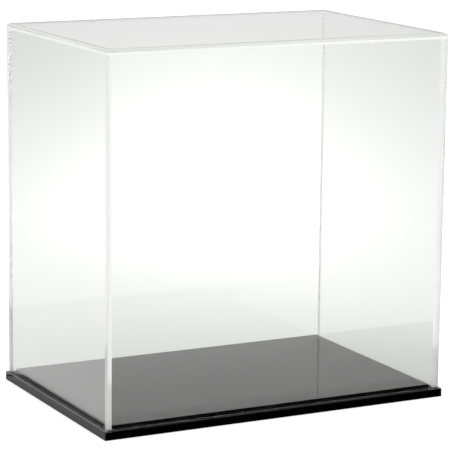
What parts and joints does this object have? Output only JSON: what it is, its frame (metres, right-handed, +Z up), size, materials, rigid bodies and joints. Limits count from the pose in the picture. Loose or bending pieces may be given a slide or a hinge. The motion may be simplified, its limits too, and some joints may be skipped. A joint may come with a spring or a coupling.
{
  "type": "display case",
  "caption": "Upright box-shaped display case: a clear acrylic lift-off cover over a low two-tier black base, for showing a football.",
  "frame": {"origin": "centre of the base's underside, on the surface that the case stands on", "axes": "+Z up, +X along the width, the front faces -Y"},
  "size_m": [0.3048, 0.2032, 0.301],
  "materials": {
    "black_acrylic": "polished black cast acrylic sheet",
    "clear_acrylic": "clear cast acrylic sheet with polished edges"
  },
  "bodies": {
    "base": {"lower_base_plate": "black_acrylic", "riser_plate": "black_acrylic"},
    "cover": {"front_panel": "clear_acrylic", "back_panel": "clear_acrylic", "left_panel": "clear_acrylic", "right_panel": "clear_acrylic", "top_panel": "clear_acrylic"}
  },
  "joints": [
    {"name": "cover_lift", "type": "slide", "parent": "base", "child": "cover", "axis": [0, 0, 1], "range_m": [0, 0.32]}
  ]
}
